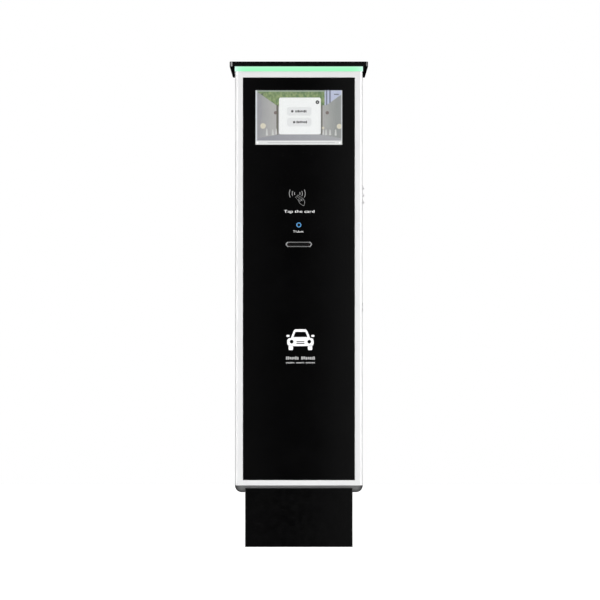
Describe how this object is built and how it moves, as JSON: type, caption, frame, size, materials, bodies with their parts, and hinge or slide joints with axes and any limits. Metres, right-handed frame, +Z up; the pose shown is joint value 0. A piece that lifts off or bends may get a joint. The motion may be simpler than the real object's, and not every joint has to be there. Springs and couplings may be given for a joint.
{
  "type": "ticket vending machine",
  "caption": "Slim floor-standing ticket machine with a glass-fronted door, display, card reader, call button, ticket mouth, lit top strip, flat roof and black plinth.",
  "frame": {"origin": "on the ground, in the middle of the roof's outline", "axes": "+Z up, the front faces -Y, +X to the right as seen from the front"},
  "size_m": [0.3454, 0.3, 1.213],
  "materials": {
    "white_paint": "satin",
    "black_paint": "fine texture",
    "grey_paint": "satin",
    "steel": "brushed",
    "zinc_steel": "zinc plated",
    "black_glass": "back-printed, glossy",
    "clear_glass": "clear",
    "diffuser": "translucent, lit",
    "circuit_board": "solder mask",
    "led": "lit",
    "black_plastic": "moulded",
    "grey_plastic": "moulded",
    "bezel_metal": "anodised",
    "blue_ring": "satin",
    "rubber": "matte",
    "foam": "foam",
    "brass": "turned",
    "chrome": "polished",
    "aluminium": "natural",
    "paper": "thermal paper",
    "cardboard": "spiral tube",
    "gear_plastic": "acetal"
  },
  "bodies": {
    "cabinet": {"roof_cap": "black_paint", "roof_soffit": "black_paint", "roof_risers": "black_paint", "light_diffuser": "diffuser", "led_board": "circuit_board", "leds": "led", "left_side_panel": "white_paint", "right_side_panel": "white_paint", "rear_panel": "white_paint", "top_deck": "white_paint", "bottom_tray": "grey_paint", "cover_screws": "zinc_steel", "plinth_shell": "black_paint", "plinth_rear_cover": "black_paint", "base_plate": "black_paint", "plinth_bolts": "zinc_steel", "cable_glands": "black_plastic", "hinge_pins": "steel", "door_seal": "rubber", "lock_barrel": "chrome", "lock_nut": "zinc_steel", "equipment_plate": "zinc_steel", "power_supply": "aluminium", "controller_box": "black_plastic", "din_rail": "zinc_steel", "circuit_breaker": "grey_plastic", "terminal_blocks": "grey_plastic", "fan_frame": "black_plastic", "printer_shelf": "zinc_steel", "printer_chassis": "zinc_steel", "print_head": "aluminium", "printer_motor": "black_paint", "ticket_guide": "black_plastic", "roll_bracket": "zinc_steel"},
    "door": {"door_frame": "white_paint", "panel_tape": "foam", "front_panel": "black_glass", "display_window": "clear_glass", "display_panel": "black_plastic", "display_straps": "zinc_steel", "card_reader": "grey_plastic", "ticket_bezel": "bezel_metal", "button_ring": "blue_ring", "button_housing": "black_plastic", "button_spring": "steel", "door_keeper": "zinc_steel", "hinge_bushes": "brass"},
    "button": {"button_cap": "black_plastic"},
    "lock_cylinder": {"lock_plug": "chrome", "lock_cam": "zinc_steel"},
    "roll": {"paper_roll": "paper", "roll_core": "cardboard"},
    "platen": {"platen_shaft": "steel", "platen_roller": "rubber", "platen_gear": "gear_plastic"},
    "pinion": {"motor_pinion": "brass"},
    "cutter": {"cutter_blade": "steel"},
    "cover": {"printer_cover": "black_plastic"},
    "rotor": {"fan_rotor": "black_plastic"},
    "toggle": {"breaker_toggle": "black_plastic"}
  },
  "joints": [
    {"name": "door_hinge", "type": "hinge", "parent": "cabinet", "child": "door", "pos_m": [-0.1505, -0.128, 0.67], "axis": [0, 0, -1], "range_deg": [0, 100]},
    {"name": "button_press", "type": "slide", "parent": "door", "child": "button", "axis": [0, 1, 0], "range_m": [0, 0.002], "stiffness_N_per_m": 400, "springref_m": -0.001, "deforming": ["button_spring"]},
    {"name": "lock_turn", "type": "hinge", "parent": "cabinet", "child": "lock_cylinder", "pos_m": [0.14, -0.095, 0.6], "axis": [-1, 0, 0], "range_deg": [0, 90]},
    {"name": "roll_spin", "type": "hinge", "parent": "cabinet", "child": "roll", "pos_m": [0, 0.07, 0.88], "axis": [1, 0, 0], "continuous": true},
    {"name": "platen_spin", "type": "hinge", "parent": "cabinet", "child": "platen", "pos_m": [0, -0.03, 0.7508], "axis": [1, 0, 0], "continuous": true},
    {"name": "pinion_spin", "type": "hinge", "parent": "cabinet", "child": "pinion", "pos_m": [0.04, -0.01457, 0.73241], "axis": [1, 0, 0], "continuous": true},
    {"name": "cutter_slide", "type": "slide", "parent": "cabinet", "child": "cutter", "axis": [0, 0, -1], "range_m": [0, 0.008], "stiffness_N_per_m": 150, "springref_m": -0.004},
    {"name": "printer_cover_hinge", "type": "hinge", "parent": "cabinet", "child": "cover", "pos_m": [0, 0.056, 0.784], "axis": [-1, 0, 0], "range_deg": [0, 60]},
    {"name": "fan_spin", "type": "hinge", "parent": "cabinet", "child": "rotor", "pos_m": [0.145, -0.02, 0.889], "axis": [1, 0, 0], "continuous": true},
    {"name": "breaker_throw", "type": "hinge", "parent": "cabinet", "child": "toggle", "pos_m": [-0.077, 0.05, 0.46], "axis": [1, 0, 0], "range_deg": [0, 40]}
  ],
  "couplings": [
    {"joint": "platen_spin", "follows": "roll_spin", "ratio": 7},
    {"joint": "pinion_spin", "follows": "roll_spin", "ratio": -21}
  ]
}
